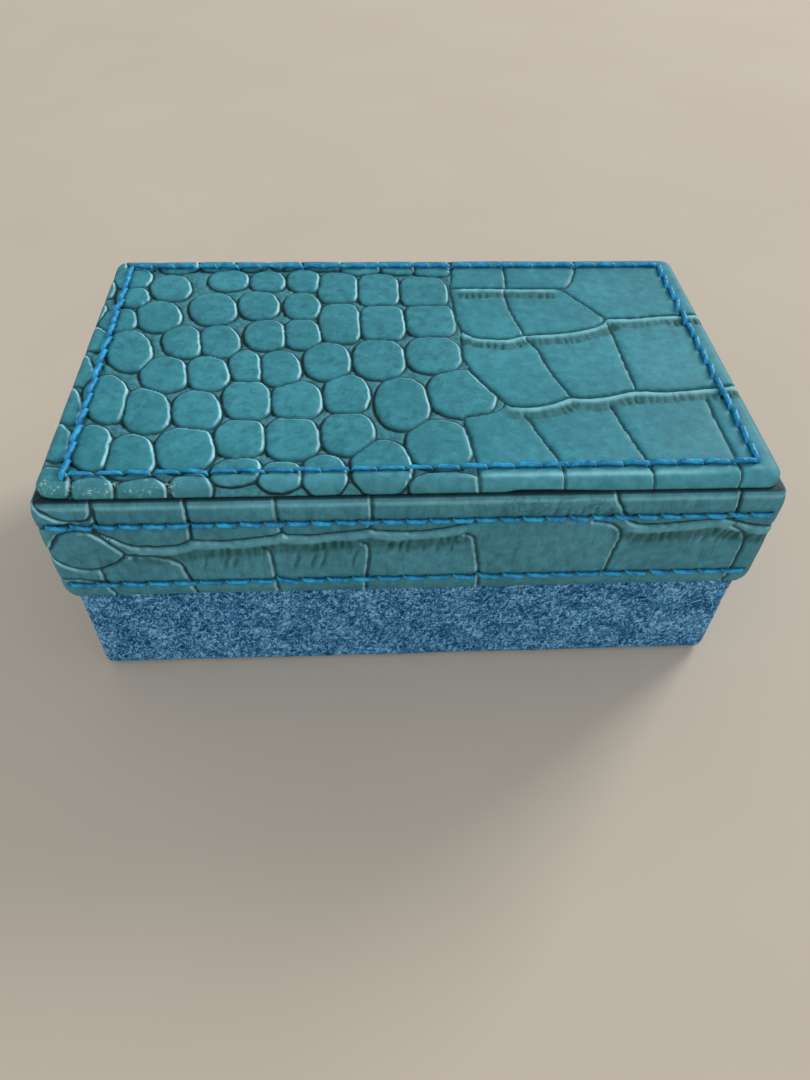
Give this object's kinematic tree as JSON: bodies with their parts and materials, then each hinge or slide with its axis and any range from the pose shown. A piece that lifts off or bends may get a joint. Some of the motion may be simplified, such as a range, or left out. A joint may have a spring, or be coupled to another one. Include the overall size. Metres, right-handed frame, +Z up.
{
  "type": "jewellery case",
  "caption": "Small rectangular jewellery case with a crocodile-embossed leather lift-off lid and a suede base, lined, with ring rolls and open compartments.",
  "frame": {"origin": "middle of the underside, on the surface that the case stands on", "axes": "+X along the case's width, -Y out of the front, +Z up"},
  "size_m": [0.1084, 0.065, 0.0429],
  "materials": {
    "embossed_leather": "satin, crocodile emboss",
    "suede": "napped suede",
    "sheet_suede": "short napped suede",
    "thread": "waxed twisted thread",
    "greyboard": "grey bookbinding board",
    "lining": "microsuede",
    "roll_fabric": "microsuede",
    "foam": "soft foam"
  },
  "bodies": {
    "base": {"base_back_board": "greyboard", "base_bottom_sheet": "sheet_suede", "base_floor_board": "greyboard", "base_front_board": "greyboard", "base_left_board": "greyboard", "base_right_board": "greyboard", "base_suede_cover": "suede", "cross_divider_board": "greyboard", "cross_divider_cover": "lining", "floor_lining": "lining", "long_divider_board": "greyboard", "long_divider_cover": "lining", "neck_back_board": "greyboard", "neck_front_board": "greyboard", "neck_left_board": "greyboard", "neck_lining": "lining", "neck_right_board": "greyboard", "ring_roll_cover_1": "roll_fabric", "ring_roll_cover_2": "roll_fabric", "ring_roll_cover_3": "roll_fabric", "ring_roll_cover_4": "roll_fabric", "ring_roll_foam_1": "foam", "ring_roll_foam_2": "foam", "ring_roll_foam_3": "foam", "ring_roll_foam_4": "foam"},
    "lid": {"band_lower_stitching": "thread", "band_upper_stitching": "thread", "lid_back_board": "greyboard", "lid_band_leather": "embossed_leather", "lid_ceiling_lining": "lining", "lid_front_board": "greyboard", "lid_left_board": "greyboard", "lid_right_board": "greyboard", "lid_tray_board": "greyboard", "lid_wall_lining": "lining", "top_panel_board": "greyboard", "top_panel_leather": "embossed_leather", "top_panel_padding": "foam", "top_panel_stitching": "thread"}
  },
  "joints": [
    {"name": "lid_lift", "type": "slide", "parent": "base", "child": "lid", "axis": [0, 0, 1], "range_m": [0, 0.05]}
  ]
}
